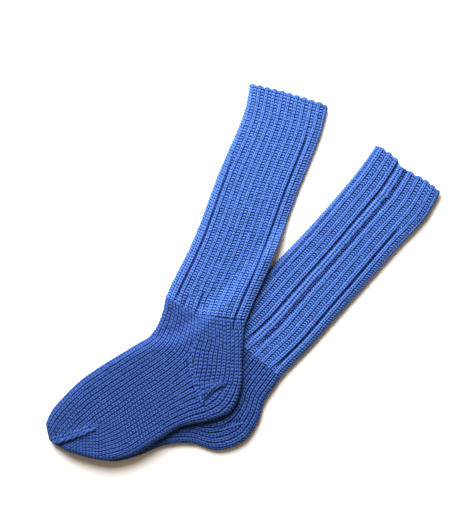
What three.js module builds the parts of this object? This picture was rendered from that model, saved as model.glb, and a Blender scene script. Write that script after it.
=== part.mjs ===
// Pair of knitted knee socks, laid flat on a surface with one sock across the other.
// Millimetres. Seen from straight above, +X runs right and +Y runs up the laid-out pair, and +Z is up
// from the surface. Each sock is one tube of cloth, pressed flat: open at its cuff and closed at its toe.
// The leg is ribbed, the heel and foot are plain knitting, and the upper sock drapes over the lower one.
import * as THREE from "three";

// Cloth
const WALL = 3.3; // one layer of the knitted cloth, between its ribs
const CLOTH_GAP = 0.3; // between the two socks where one lies on the other
const YARN_BLUE = 0x3f6fc4;

// Section of a flattened tube
const TOP_ROUND = 9; // how far in from its edge the top curves down
const UNDER_ROUND = 3.5; // the same for the underside
const EDGE_LEVEL = 0.42; // height of the widest point, as a share of the sock's thickness
const UNDER_CORNER_STEPS = 3;
const UNDER_FLAT_STEPS = 10;
const UNDER_STEPS = 2 * UNDER_CORNER_STEPS + UNDER_FLAT_STEPS;
const MOST_INSET = 1 / 3; // of a narrow section's width, taken by one of its edges
const QUARTER_TURN = Math.PI / 2;

// Ribs, raised on the top and edges of each leg. Each rib runs between two lines of the ribbing.
const RIB_HIGH = 1.2; // crest over valley
const RIB_WIDE = 0.09; // as a share of the way across, outside the lines that the tables below place
const RIB_CREST = 1 / 3; // place of a rib's crest between its two lines
const STEPS_A_RIB = 4;
const EDGE_STEPS = 3; // from the sock's edge to the first or last whole step of a rib
const FAR_LINES = 4; // lines past the outermost placed ones for which a place is worked out

// Ends
const CUFF_LIP = 1.4; // rounding of the cuff's edge
const CUFF_SCALLOP = 1.3; // how far each rib reaches past the valleys at the cuff's edge
const INNER_REACH = 0.7; // share of the cuff's reach that its inside edge follows
const TOE_BLUNT = 1.2; // how far the toe's tip stands past its last section
const INNER_STOP = 5; // sections between the closed end of the inside and the toe's tip

// Drape of the upper sock over the lower one
const DRAPE_LEVEL = 7; // the upper sock stays level this far past the lower one's edge
const DRAPE_FALL = 19; // and comes down to the surface over this much more
const UNDER_HIGH = 8.5; // thickness of the lower sock where the upper one covers it

// Folds
const FOLD_PATH_STEPS = 6;
const FOLD_FADE = 0.12; // share of a fold's length over which it fades at each end

// Sections from cuff to toe. left and right are the section's ends, seen from above with the cuff at the
// top: left is the shin and instep side, right is the calf, heel and sole side. high is the thickness,
// rib is how much of the ribbing shows, and steps is how many sections lead on to the next row.
const UPPER_SECTIONS = [
  { name: "cuff", left: [7, 203.5], right: [92, 178], high: 8.4, rib: 1, steps: 2 },
  { name: "below cuff", left: [0.5, 172], right: [83.5, 147], high: 8.4, rib: 1, steps: 2 },
  { name: "calf", left: [-25, 111], right: [59, 86], high: 8.4, rib: 1, steps: 3 },
  { name: "mid leg", left: [-54, 35], right: [31, 11], high: 8.4, rib: 1, steps: 3 },
  { name: "rib end", left: [-83.5, -26.5], right: [4, -51], high: 8.4, rib: 1, steps: 1 },
  { name: "first plain rows", left: [-86.5, -41], right: [1, -65], high: 8.6, rib: 0, steps: 1 },
  { name: "ankle", left: [-94, -60], right: [-1, -92], high: 8.8, rib: 0, steps: 2 },
  { name: "heel back", left: [-99, -66.5], right: [-2, -124], high: 9, rib: 0, steps: 2 },
  { name: "heel corner", left: [-101, -69], right: [-13, -150], high: 9, rib: 0, steps: 2 },
  { name: "heel base", left: [-104, -71.5], right: [-38, -160.5], high: 9, rib: 0, steps: 2 },
  { name: "arch", left: [-113, -76.5], right: [-67, -167], high: 9, rib: 0, steps: 2 },
  { name: "instep", left: [-133, -88.5], right: [-94, -183], high: 9.2, rib: 0, steps: 2 },
  { name: "mid foot", left: [-154, -101.5], right: [-122, -198.5], high: 9.2, rib: 0, steps: 2 },
  { name: "ball", left: [-174, -115.5], right: [-150, -203], high: 9.2, rib: 0, steps: 2 },
  { name: "toe start", left: [-191, -131.5], right: [-176, -197.5], high: 9, rib: 0, steps: 2 },
  { name: "toe", left: [-206, -149], right: [-197, -190], high: 8.2, rib: 0, steps: 2 },
  { name: "toe end", left: [-213.5, -164], right: [-209.5, -182], high: 5.6, rib: 0, steps: 0 },
];
const LOWER_SECTIONS = [
  { name: "cuff", left: [143.5, 136.5], right: [212.5, 83], high: 8.4, rib: 1, steps: 2 },
  { name: "below cuff", left: [126, 113], right: [198, 58], high: 8.4, rib: 1, steps: 2 },
  { name: "calf", left: [97, 78], right: [167, 25], high: 8.4, rib: 1, steps: 2 },
  { name: "mid leg", left: [66, 43], right: [136, -10], high: 8.4, rib: 1, steps: 2 },
  { name: "low leg", left: [33.5, 8.5], right: [104, -46], high: 8.4, rib: 1, steps: 2 },
  { name: "covered leg", left: [2, -27], right: [72, -82], high: UNDER_HIGH, rib: 1, steps: 2 },
  { name: "rib end", left: [-27, -56.5], right: [42, -113], high: UNDER_HIGH, rib: 1, steps: 1 },
  { name: "first plain rows", left: [-37, -67], right: [35, -123], high: UNDER_HIGH, rib: 0, steps: 2 },
  { name: "ankle", left: [-55, -80], right: [23, -141], high: UNDER_HIGH, rib: 0, steps: 2 },
  { name: "heel back", left: [-59, -83], right: [16, -163], high: UNDER_HIGH, rib: 0, steps: 2 },
  { name: "heel corner", left: [-62, -84.5], right: [1, -183.5], high: UNDER_HIGH, rib: 0, steps: 2 },
  { name: "heel base", left: [-65, -85.5], right: [-27, -193], high: UNDER_HIGH, rib: 0, steps: 2 },
  { name: "arch", left: [-75, -88], right: [-56, -185.5], high: UNDER_HIGH, rib: 0, steps: 2 },
  { name: "instep", left: [-98, -92], right: [-86, -188], high: UNDER_HIGH, rib: 0, steps: 2 },
  { name: "mid foot", left: [-124, -100], right: [-115, -199.5], high: UNDER_HIGH, rib: 0, steps: 2 },
  { name: "ball", left: [-150, -110], right: [-142, -205], high: UNDER_HIGH, rib: 0, steps: 2 },
  { name: "toe start", left: [-172, -121], right: [-167, -198], high: UNDER_HIGH, rib: 0, steps: 2 },
  { name: "toe", left: [-188, -134], right: [-185, -181], high: 7.4, rib: 0, steps: 2 },
  { name: "toe end", left: [-195.5, -147], right: [-194.5, -166], high: 5, rib: 0, steps: 0 },
];

// Where the lines of the ribbing run: the share of the way across at which some of them stand, at some rows
// of the section table. The others are spaced evenly between them. The ribs of the upper sock are rolled
// half a rib to the right on their way down, and the lower sock has a wide rib between its two pleats.
const UPPER_RIBS = {
  lines: [1, 9],
  rows: [
    { row: 0, shares: [0.117, 0.835] },
    { row: 4, shares: [0.162, 0.865] },
  ],
  first: 0.25,
  last: 10.25,
};
const LOWER_RIBS = {
  lines: [1, 4, 5, 8],
  rows: [
    { row: 0, shares: [0.079, 0.373, 0.516, 0.823] },
    { row: 3, shares: [0.117, 0.41, 0.547, 0.858] },
    { row: 5, shares: [0.13, 0.424, 0.573, 0.876] },
    { row: 6, shares: [0.13, 0.405, 0.555, 0.87] },
  ],
  first: 0.5,
  last: 9,
};

// Long folds that follow the lines of the ribbing. from and to count rows of the section table.
const UPPER_FOLDS = [
  { name: "shin fold", line: 1, from: 0, to: 4.1, deep: 1.5, wide: 2.4 },
  { name: "calf fold", line: 9, from: 0.8, to: 5.2, deep: 1.9, wide: 2.6 },
  { name: "short slit", line: 4, from: 3.7, to: 4.3, deep: 1.2, wide: 1.8 },
];
const LOWER_FOLDS = [
  { name: "shin fold", line: 1, from: 0, to: 4.6, deep: 1.5, wide: 2.4 },
  { name: "front pleat", line: 4, from: 0, to: 6.1, deep: 1.9, wide: 2.6 },
  { name: "back pleat", line: 5, from: 0, to: 6.1, deep: 1.9, wide: 2.6 },
  { name: "calf fold", line: 8, from: 1.4, to: 6.1, deep: 1.9, wide: 2.8 },
];

// Shorter creases and raised lines of heel, ankle and toe, from one place to another. A raised line has a
// depth under 0.
const UPPER_CREASES = [
  { name: "ankle pucker", path: [[-99, -67], [-92, -71]], deep: 1.8, wide: 3 },
  { name: "gusset line", path: [[-62, -92], [-56, -110], [-47, -124]], deep: 1, wide: 3 },
  { name: "heel turn ridge", path: [[-45, -137], [-34, -123], [-18, -117]], deep: -1, wide: 4 },
  { name: "heel turn groove", path: [[-43, -141], [-30, -129], [-16, -122]], deep: 1.4, wide: 3 },
  { name: "toe ridge", path: [[-205, -181], [-184, -177], [-170, -171], [-156, -163]], deep: -1.2, wide: 5 },
  { name: "toe groove", path: [[-203, -187], [-184, -181.5], [-166, -175]], deep: 2, wide: 4 },
];
const LOWER_CREASES = [
  { name: "heel turn ridge", path: [[-28, -166], [-12, -158], [0, -156]], deep: -0.8, wide: 4 },
  { name: "heel turn groove", path: [[-27, -171], [-12, -163], [0, -161]], deep: 1.4, wide: 3 },
];

// How far the cuff's edge reaches past its row, by the share of the way across the leg.
const UPPER_CUFF = [
  { share: 0, out: -2 },
  { share: 0.08, out: 0 },
  { share: 0.5, out: 1.5 },
  { share: 0.92, out: 1 },
  { share: 1, out: -2.5 },
];
const LOWER_CUFF = [
  { share: 0, out: -1.5 },
  { share: 0.1, out: 1.5 },
  { share: 0.34, out: 2 },
  { share: 0.4, out: -3 },
  { share: 0.55, out: 0 },
  { share: 0.75, out: 2.5 },
  { share: 0.92, out: 2.5 },
  { share: 1, out: -2 },
];

const mix = THREE.MathUtils.lerp;
const smooth = THREE.MathUtils.smoothstep;

// A named column of a table at any place between its rows.
function column(table, at, name) {
  const row = Math.min(Math.floor(at), table.length - 2);
  return mix(table[row][name], table[row + 1][name], at - row);
}

// The cuff's reach at a share of the way across.
function cuffReach(cuff, share) {
  const next = Math.max(1, cuff.findIndex((place) => place.share >= share));
  const before = cuff[next - 1];
  const after = cuff[next];
  return mix(before.out, after.out, smooth(share, before.share, after.share));
}

// A smooth line through one end of every section.
function edgeLine(sections, side) {
  const points = sections.map((section) => new THREE.Vector3(...section[side], 0));
  return new THREE.CatmullRomCurve3(points, false, "centripetal");
}

function makeLayout(sections, ribs) {
  return { sections, ribs, left: edgeLine(sections, "left"), right: edgeLine(sections, "right") };
}

// Where the placed lines of the ribbing stand at a row of the section table, with a far line on each side:
// the number of each and its share of the way across.
function ribKnots(ribs, at) {
  const next = ribs.rows.findIndex((place) => place.row >= at);
  const after = ribs.rows.at(next);
  const before = next > 0 ? ribs.rows[next - 1] : after;
  const along = after === before ? 0 : (at - before.row) / (after.row - before.row);
  const knots = ribs.lines.map((line, i) => ({ line, share: mix(before.shares[i], after.shares[i], along) }));
  const beyond = ({ line, share }, count) => ({ line: line + count, share: share + count * RIB_WIDE });
  return [beyond(knots[0], -FAR_LINES), ...knots, beyond(knots.at(-1), FAR_LINES)];
}

// Reads one column of the knots from the other.
function readKnots(knots, from, to, value) {
  const next = Math.max(1, knots.findIndex((knot) => knot[from] >= value));
  const [before, after] = [knots[next - 1], knots[next]];
  return mix(before[to], after[to], (value - before[from]) / (after[from] - before[from]));
}

// One section: its two ends, the step from left to right, and its columns.
function sectionAt(layout, at) {
  const share = at / (layout.sections.length - 1);
  const left = layout.left.getPoint(share);
  const across = layout.right.getPoint(share).sub(left);
  const wide = across.length();
  return {
    left,
    side: across.divideScalar(wide),
    wide,
    high: column(layout.sections, at, "high"),
    rib: column(layout.sections, at, "rib"),
    knots: ribKnots(layout.ribs, at),
  };
}

// How far a place across a section lies down in the valley between two ribs, from 0 to 1.
function valleyAt(section, share) {
  const line = readKnots(section.knots, "share", "line", share);
  return (1 - Math.cos(2 * Math.PI * (line - RIB_CREST))) / 2;
}

// The shares of the way across at which a section's top has points: at every step of every rib.
function topShares(section, ribs) {
  const shares = [];
  const first = readKnots(section.knots, "line", "share", ribs.first);
  const last = readKnots(section.knots, "line", "share", ribs.last);
  for (let i = 0; i < EDGE_STEPS; i += 1) {
    shares.push((first * i) / EDGE_STEPS);
  }
  for (let i = 0; i <= (ribs.last - ribs.first) * STEPS_A_RIB; i += 1) {
    shares.push(readKnots(section.knots, "line", "share", ribs.first + i / STEPS_A_RIB));
  }
  for (let i = 1; i <= EDGE_STEPS; i += 1) {
    shares.push(mix(last, 1, i / EDGE_STEPS));
  }
  return shares;
}

// Length of a quarter of an ellipse, by its two half widths.
function quarterLength(a, b) {
  return (Math.PI / 4) * (3 * (a + b) - Math.sqrt((3 * a + b) * (a + 3 * b)));
}

// A point of the top of a section, by its share of the way round from the left edge to the right one: how
// far across it stands, its level, and which way the cloth faces there.
function topPoint(section, share) {
  const edge = EDGE_LEVEL * section.high;
  const rise = section.high - edge;
  const round = Math.min(TOP_ROUND, section.wide / 2);
  const corner = quarterLength(round, rise);
  const flat = section.wide - 2 * round;
  const fromEdge = Math.min(share, 1 - share) * (2 * corner + flat);
  const turn = Math.min(fromEdge / corner, 1) * QUARTER_TURN;
  const inward = fromEdge > corner ? round + fromEdge - corner : round * (1 - Math.cos(turn));
  const onLeft = share < 0.5;
  return {
    across: onLeft ? inward : section.wide - inward,
    level: edge + rise * Math.sin(turn),
    outward: (onLeft ? -1 : 1) * Math.cos(turn),
    upward: Math.sin(turn),
  };
}

// A point of the underside, by its step from the right edge back to the left one. It is flat but for its
// two rounded edges.
function underPoint(section, step) {
  const edge = EDGE_LEVEL * section.high;
  const round = Math.min(UNDER_ROUND, section.wide * MOST_INSET);
  const fromEdge = Math.min(step, UNDER_STEPS - step);
  const turn = Math.min(fromEdge / UNDER_CORNER_STEPS, 1) * QUARTER_TURN;
  const flatStep = (section.wide - 2 * round) / UNDER_FLAT_STEPS;
  const onFlat = Math.max(fromEdge - UNDER_CORNER_STEPS, 0) * flatStep;
  const inward = round * (1 - Math.cos(turn)) + onFlat;
  const onRight = step < UNDER_STEPS / 2;
  return {
    across: onRight ? section.wide - inward : inward,
    level: turn < QUARTER_TURN ? edge * (1 - Math.sin(turn)) : 0,
  };
}

function placeOn(section, across) {
  return section.left.clone().addScaledVector(section.side, across);
}

// Distance from a place to a path, and how far along the path the nearest point is, from 0 to 1.
function nearestOnPath(path, place) {
  const nearest = new THREE.Vector3();
  const found = { distance: Infinity, along: 0 };
  for (let i = 0; i < path.length - 1; i += 1) {
    const stretch = new THREE.Line3(path[i], path[i + 1]);
    stretch.closestPointToPoint(place, true, nearest);
    const distance = nearest.distanceTo(place);
    if (distance < found.distance) {
      found.distance = distance;
      found.along = (i + stretch.closestPointToPointParameter(place, true)) / (path.length - 1);
    }
  }
  return found;
}

// The path of a fold down a line of the ribbing, seen from above.
function foldPath(layout, fold) {
  const path = [];
  for (let i = 0; i <= FOLD_PATH_STEPS; i += 1) {
    const section = sectionAt(layout, mix(fold.from, fold.to, i / FOLD_PATH_STEPS));
    const share = readKnots(section.knots, "line", "share", fold.line);
    path.push(placeOn(section, topPoint(section, share).across));
  }
  return path;
}

function creasePath(crease) {
  return crease.path.map((place) => new THREE.Vector3(...place, 0));
}

// How far the cloth is pressed in at a place by every fold and crease.
function pressedIn(creases, place) {
  let total = 0;
  for (const crease of creases) {
    const { distance, along } = nearestOnPath(crease.path, place);
    const fade = crease.open ? smooth(1 - along, 0, FOLD_FADE)
      : smooth(along, 0, FOLD_FADE) * smooth(1 - along, 0, FOLD_FADE);
    total += crease.deep * fade * Math.exp(-((distance / crease.wide) ** 2));
  }
  return total;
}

// The outer points of one section: over the top from left to right, then back under it.
function outerRing(sock, section) {
  const ring = [];
  for (const share of topShares(section, sock.layout.ribs)) {
    const top = topPoint(section, share);
    const place = placeOn(section, top.across);
    const valley = section.rib * RIB_HIGH * valleyAt(section, share);
    const inward = valley + pressedIn(sock.creases, place) * top.upward;
    place.addScaledVector(section.side, -inward * top.outward);
    place.z = top.level - inward * top.upward;
    ring.push(place);
  }
  for (let i = 1; i < UNDER_STEPS; i += 1) {
    const under = underPoint(section, i);
    const place = placeOn(section, under.across);
    place.z = under.level;
    ring.push(place);
  }
  return ring;
}

// The inner points of one section, one for every two outer ones: a plain flat slit between the layers.
function innerRing(section, topSteps) {
  const ring = [];
  const inset = Math.min(WALL + RIB_HIGH, section.wide * MOST_INSET);
  const room = section.wide - 2 * inset;
  const slit = section.high - section.rib * RIB_HIGH - 2 * WALL;
  for (let i = 0; i <= topSteps; i += 2) {
    const share = i / topSteps;
    const place = placeOn(section, inset + room * share);
    place.z = WALL + slit * Math.sqrt(Math.sin(Math.PI * share));
    ring.push(place);
  }
  for (let i = 2; i < UNDER_STEPS; i += 2) {
    const share = 1 - i / UNDER_STEPS;
    const place = placeOn(section, inset + room * share);
    place.z = WALL;
    ring.push(place);
  }
  return ring;
}

// Moves the points of a cuff's edge along the leg, by the cuff's table and by each rib.
function shapeCuff(sock, section, ring, outward, amount) {
  for (const place of ring) {
    const across = place.clone().setZ(0).sub(section.left).dot(section.side);
    const share = THREE.MathUtils.clamp(across / section.wide, 0, 1);
    const scallop = CUFF_SCALLOP * valleyAt(section, share);
    place.addScaledVector(outward, amount * (cuffReach(sock.cuff, share) - scallop));
  }
}

// Draws a section in from the cloth's surface, for the rounded edge of the cuff.
function drawnIn(section, by) {
  return {
    ...section,
    left: section.left.clone().addScaledVector(section.side, by),
    wide: section.wide - 2 * by,
    high: section.high - by,
  };
}

function sectionPlaces(sections) {
  const places = [];
  sections.forEach((section, row) => {
    for (let i = 0; i < section.steps; i += 1) {
      places.push(row + i / section.steps);
    }
  });
  places.push(sections.length - 1);
  return places;
}

// Joins rings of equal length into a tube, in triangles of point numbers.
function joinRings(triangles, starts, count) {
  for (let r = 0; r < starts.length - 1; r += 1) {
    for (let i = 0; i < count; i += 1) {
      const next = (i + 1) % count;
      const [a, b] = [starts[r] + i, starts[r] + next];
      const [c, d] = [starts[r + 1] + i, starts[r + 1] + next];
      triangles.push([a, c, b], [b, c, d]);
    }
  }
}

// Joins a ring to one with half as many points.
function joinRim(triangles, outerStart, outerCount, innerStart) {
  for (let i = 0; i < outerCount / 2; i += 1) {
    const nextInner = innerStart + ((i + 1) % (outerCount / 2));
    const inner = innerStart + i;
    const first = outerStart + 2 * i;
    const last = outerStart + ((2 * i + 2) % outerCount);
    triangles.push([first, first + 1, inner], [inner, first + 1, nextInner], [nextInner, first + 1, last]);
  }
}

function closeRing(triangles, start, count, tip) {
  for (let i = 0; i < count; i += 1) {
    triangles.push([start + i, tip, start + ((i + 1) % count)]);
  }
}

function middleOf(ring) {
  const middle = new THREE.Vector3();
  ring.forEach((place) => middle.add(place));
  return middle.divideScalar(ring.length);
}

// One sock as a closed solid. lift gives the height of what lies under it at each place.
function sockGeometry(sock, lift) {
  const points = [];
  const triangles = [];
  const add = (ring) => points.push(...ring) - ring.length;
  const sections = sectionPlaces(sock.layout.sections).map((at) => sectionAt(sock.layout, at));
  const outward = sections[0].left.clone().sub(sections[1].left).normalize();
  const lip = drawnIn(sections[0], CUFF_LIP);
  lip.left.addScaledVector(outward, CUFF_LIP);
  const outerRings = [lip, ...sections].map((section) => outerRing(sock, section));
  const topSteps = outerRings[0].length - UNDER_STEPS;
  const innerRings = sections.slice(0, -INNER_STOP).map((section) => innerRing(section, topSteps));
  shapeCuff(sock, lip, outerRings[0], outward, 1);
  shapeCuff(sock, sections[0], outerRings[1], outward, 1);
  shapeCuff(sock, sections[0], innerRings[0], outward, INNER_REACH);

  const outerStarts = outerRings.map(add);
  const innerStarts = innerRings.map(add);
  const outerCount = outerRings[0].length;
  const innerCount = innerRings[0].length;
  joinRings(triangles, outerStarts, outerCount);
  joinRim(triangles, outerStarts[0], outerCount, innerStarts[0]);
  const inner = [];
  joinRings(inner, innerStarts, innerCount);
  const innerTip = add([middleOf(innerRings.at(-1))]);
  closeRing(inner, innerStarts.at(-1), innerCount, innerTip);
  triangles.push(...inner.map(([a, b, c]) => [a, c, b]));
  const toeward = middleOf(outerRings.at(-1)).sub(middleOf(outerRings.at(-2))).setZ(0).normalize();
  const tip = middleOf(outerRings.at(-1)).addScaledVector(toeward, TOE_BLUNT);
  closeRing(triangles, outerStarts.at(-1), outerCount, add([tip]));

  points.forEach((place) => {
    place.z += lift(place);
  });
  const geometry = new THREE.BufferGeometry().setFromPoints(points);
  geometry.setIndex(triangles.flat());
  geometry.computeVertexNormals();
  return geometry;
}

// Distance from a place to the outline of a sock, under 0 inside it.
function outlineDistance(outline, place) {
  let inside = false;
  let nearest = Infinity;
  const closest = new THREE.Vector3();
  outline.forEach((from, i) => {
    const to = outline[(i + 1) % outline.length];
    new THREE.Line3(from, to).closestPointToPoint(place, true, closest);
    nearest = Math.min(nearest, closest.distanceTo(place));
    const crosses = from.y > place.y !== to.y > place.y;
    if (crosses && place.x < from.x + ((place.y - from.y) * (to.x - from.x)) / (to.y - from.y)) {
      inside = !inside;
    }
  });
  return inside ? -nearest : nearest;
}

function outlineOf(layout) {
  const sections = sectionPlaces(layout.sections).map((at) => sectionAt(layout, at));
  const rightEdge = sections.map((section) => placeOn(section, section.wide));
  return [...sections.map((section) => section.left), ...rightEdge.reverse()];
}

// How high the upper sock is carried over the lower one.
function drapeOver(layout) {
  const outline = outlineOf(layout);
  return (place) => {
    const past = outlineDistance(outline, place.clone().setZ(0)) - DRAPE_LEVEL;
    return (UNDER_HIGH + CLOTH_GAP) * (1 - smooth(past, 0, DRAPE_FALL));
  };
}

function makeSock(sections, ribs, folds, creases, cuff) {
  const layout = makeLayout(sections, ribs);
  const pressed = [
    ...folds.map((fold) => ({ ...fold, path: foldPath(layout, fold), open: fold.from === 0 })),
    ...creases.map((crease) => ({ ...crease, path: creasePath(crease) })),
  ];
  return { layout, creases: pressed, cuff };
}

function clothMesh(name, geometry) {
  const material = new THREE.MeshStandardMaterial({ color: YARN_BLUE, roughness: 0.95, metalness: 0 });
  const mesh = new THREE.Mesh(geometry, material);
  mesh.name = name;
  return mesh;
}

const upper = makeSock(UPPER_SECTIONS, UPPER_RIBS, UPPER_FOLDS, UPPER_CREASES, UPPER_CUFF);
const lower = makeSock(LOWER_SECTIONS, LOWER_RIBS, LOWER_FOLDS, LOWER_CREASES, LOWER_CUFF);
const group = new THREE.Group();
group.add(clothMesh("upper_sock", sockGeometry(upper, drapeOver(lower.layout))));
group.add(clothMesh("lower_sock", sockGeometry(lower, () => 0)));

// The origin is on the surface, under the middle of the pair.
const middle = new THREE.Box3().setFromObject(group).getCenter(new THREE.Vector3());
group.position.set(-middle.x, -middle.y, 0);

export default group;
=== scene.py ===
import math

import bpy
import numpy as np
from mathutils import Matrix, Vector


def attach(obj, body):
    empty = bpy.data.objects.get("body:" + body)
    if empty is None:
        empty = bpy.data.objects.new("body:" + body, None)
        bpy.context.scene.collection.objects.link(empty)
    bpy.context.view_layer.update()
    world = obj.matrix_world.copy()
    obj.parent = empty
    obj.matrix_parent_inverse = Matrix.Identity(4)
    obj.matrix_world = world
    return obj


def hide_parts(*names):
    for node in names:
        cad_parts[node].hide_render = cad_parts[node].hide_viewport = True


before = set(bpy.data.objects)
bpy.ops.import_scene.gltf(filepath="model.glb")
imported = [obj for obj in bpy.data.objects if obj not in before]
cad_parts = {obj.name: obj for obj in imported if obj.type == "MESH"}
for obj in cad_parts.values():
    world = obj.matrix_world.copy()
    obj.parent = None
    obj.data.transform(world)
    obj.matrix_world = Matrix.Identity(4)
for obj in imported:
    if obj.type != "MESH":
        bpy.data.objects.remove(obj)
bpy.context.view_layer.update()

# A pair of knitted knee socks laid flat, one across the other. Each sock is a thin shell of cloth on the
# form of its solid, and over it lies the knitting itself: every stitch is a real piece of yarn. Lengths are
# in millimetres until a mesh is made. A sock's rows count its sections from the cuff, and its lines count
# the lines of the ribbing from the left. Stitches count in wales across the knitting and in rows down it.

MM = 0.001
TAU = 2 * math.pi
QUARTER_TURN = math.pi / 2
TINY = 1e-9  # keeps a length that is divided by from being 0

# Cloth and section, as in the solids
TOP_ROUND = 9.0  # width of the rounded edge of a sock's upper face
UNDER_ROUND = 3.5  # and of its underside
EDGE_LEVEL = 0.42  # share of the thickness at which the outermost edge lies
RIB_HIGH = 1.2
RIB_WIDE = 0.09  # share of the way across between two lines, past the placed ones
RIB_CREST = 1 / 3  # where a rib stands highest between two lines
FAR_LINES = 4  # how many lines that goes on for
DRAPE_LEVEL = 7.0  # how far outside the lower sock the upper one still lies level
DRAPE_FALL = 19.0  # and how far it then takes to come down
UNDER_HIGH = 8.5  # height of the lower sock where the upper one lies on it
CLOTH_GAP = 0.3
FOLD_FADE = 0.12  # share of a crease's length over which it fades at an end
TABLE_AT = np.array([1.624, 1.295])  # where the section tables' origin stands in the part's frame

# Photograph: millimetres in a pixel, its height in pixels, the pixel that the tables' origin lies on, and
# the one that the camera looks at
PIXEL = 1.08
PHOTO_TALL = 526
ORIGIN_PIXEL = np.array([243.0, 272.0])
CAMERA_PIXEL = (236, 263)

# Sections from cuff to toe: left x, y, right x, y, thickness
UPPER_SECTIONS = np.array([
    (7, 203.5, 92, 178, 8.4),
    (0.5, 172, 83.5, 147, 8.4),
    (-25, 111, 59, 86, 8.4),
    (-54, 35, 31, 11, 8.4),
    (-83.5, -26.5, 4, -51, 8.4),
    (-86.5, -41, 1, -65, 8.6),
    (-94, -60, -1, -92, 8.8),
    (-99, -66.5, -2, -124, 9),
    (-101, -69, -13, -150, 9),
    (-104, -71.5, -38, -160.5, 9),
    (-113, -76.5, -67, -167, 9),
    (-133, -88.5, -94, -183, 9.2),
    (-154, -101.5, -122, -198.5, 9.2),
    (-174, -115.5, -150, -203, 9.2),
    (-191, -131.5, -176, -197.5, 9),
    (-206, -149, -197, -190, 8.2),
    (-213.5, -164, -209.5, -182, 5.6),
])
LOWER_SECTIONS = np.array([
    (143.5, 136.5, 212.5, 83, 8.4),
    (126, 113, 198, 58, 8.4),
    (97, 78, 167, 25, 8.4),
    (66, 43, 136, -10, 8.4),
    (33.5, 8.5, 104, -46, 8.4),
    (2, -27, 72, -82, 8.5),
    (-27, -56.5, 42, -113, 8.5),
    (-37, -67, 35, -123, 8.5),
    (-55, -80, 23, -141, 8.5),
    (-59, -83, 16, -163, 8.5),
    (-62, -84.5, 1, -183.5, 8.5),
    (-65, -85.5, -27, -193, 8.5),
    (-75, -88, -56, -185.5, 8.5),
    (-98, -92, -86, -188, 8.5),
    (-124, -100, -115, -199.5, 8.5),
    (-150, -110, -142, -205, 8.5),
    (-172, -121, -167, -198, 8.5),
    (-188, -134, -185, -181, 7.4),
    (-195.5, -147, -194.5, -166, 5),
])

# Lines of the ribbing: the numbers of some lines, and at some rows the share of the way across of each
UPPER_RIBS = ([1, 9], [(0, [0.117, 0.835]), (4, [0.162, 0.865])])
LOWER_RIBS = ([1, 4, 5, 8], [
    (0, [0.079, 0.373, 0.516, 0.823]),
    (3, [0.117, 0.41, 0.547, 0.858]),
    (5, [0.13, 0.424, 0.573, 0.876]),
    (6, [0.13, 0.405, 0.555, 0.87]),
])

# Folds down the lines of the ribbing: line, from row, to row, depth, width
UPPER_FOLDS = [
    (0.85, 1.7, 4.1, 5.5, 0.95),
    (8.85, 0.8, 5.2, 8, 1),
    (3.85, 3.7, 4.3, 5, 0.95),
]
LOWER_FOLDS = [
    (0.85, 0, 4.6, 4.2, 0.85),
    (3.85, 0, 6.1, 5.5, 0.85),
    (4.85, 0, 6.1, 5.5, 0.85),
    (7.85, 1.4, 6.1, 7, 0.95),
]
FOLD_POINTS = 12
FOLD_DRAW = 0.62  # how much of its distance a fold takes from the cloth beside it
DRAW_WIDE = 4.5  # how far that reaches
FOLD_FLOOR = 2.7  # height that stays under the deepest fold
LEAST_ROOM = 0.3  # depth that a fold may have even where the sock is thin

# Creases, and raised lines with a depth under 0: points, depth, width
UPPER_CREASES = [
    ([(-83, -27), (-62.5, -38), (-46, -45.5), (-22, -49), (2, -52)], 0.9, 1.9),
    ([(-64, -38.5), (-50, -45), (-33, -48)], 1.2, 1.6),
    ([(-79, -38), (-78, -57)], 2.0, 2.6),
    ([(-57, -25), (-66, -40)], 2.6, 2.0),
    ([(-42, -33), (-45.5, -43)], 2.2, 1.3),
    ([(-99, -67), (-92, -71)], 1.8, 3),
    ([(-60, -94), (-57.5, -106), (-50, -121), (-46, -128)], 1.7, 2.0),
    ([(-45, -137), (-34, -123), (-18, -117)], -1, 4),
    ([(-43, -141), (-30, -129), (-16, -122)], 2.8, 1.9),
    ([(-59, -115.6), (-52.4, -111.8)], 2.0, 1.3),
    ([(-55, -124.7), (-47, -122)], 2.6, 1.4),
    ([(-54, -137.7), (-48, -136.1)], 1.6, 1.2),
    ([(-201, -181), (-184, -177), (-170, -171), (-156, -163)], -0.8, 5),
    ([(-203, -188), (-194, -185.6), (-184, -181.5), (-173, -177)], 2.6, 2.2),
]
LOWER_CREASES = [
    ([(-28, -166), (-12, -158), (0, -156)], -0.8, 4),
    ([(-27, -171), (-12, -163), (0, -161)], 2.8, 1.9),
]

# How far the cuff's edge reaches past its row: share of the way across, reach
UPPER_CUFF = [(0, -2), (0.08, 0), (0.5, 1.5), (0.92, 1), (1, -2.5)]
LOWER_CUFF = [(0, -1.5), (0.1, 1.5), (0.34, 2), (0.4, -3), (0.55, 0), (0.75, 2.5), (0.92, 2.5), (1, -2)]
CUFF_FADE = 15.0  # length of leg over which that fades

# Ribbed legs: rows of stitches, first and last line on the upper face, at the cuff's edge and on the
# underside, the sock's row where the ribs end at shares of the way across, and where the shell's ribs end
UPPER_LEG = {
    "rows": 82,
    "top": (-1.6, 11.6),
    "cuff": (-1, 11),
    "under": (0, 10),
    "ends": [(0, 4.0), (0.23, 4.4), (0.43, 4.67), (0.64, 4.39), (0.945, 4.08), (1, 4.08)],
    "shell_end": 4.4,
}
LOWER_LEG = {
    "rows": 90,
    "top": (-1.2, 10.6),
    "cuff": (-1, 10),
    "under": (0, 9),
    "ends": [(0, 6.1), (1, 6.15)],
    "shell_end": 6.2,
}

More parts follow.
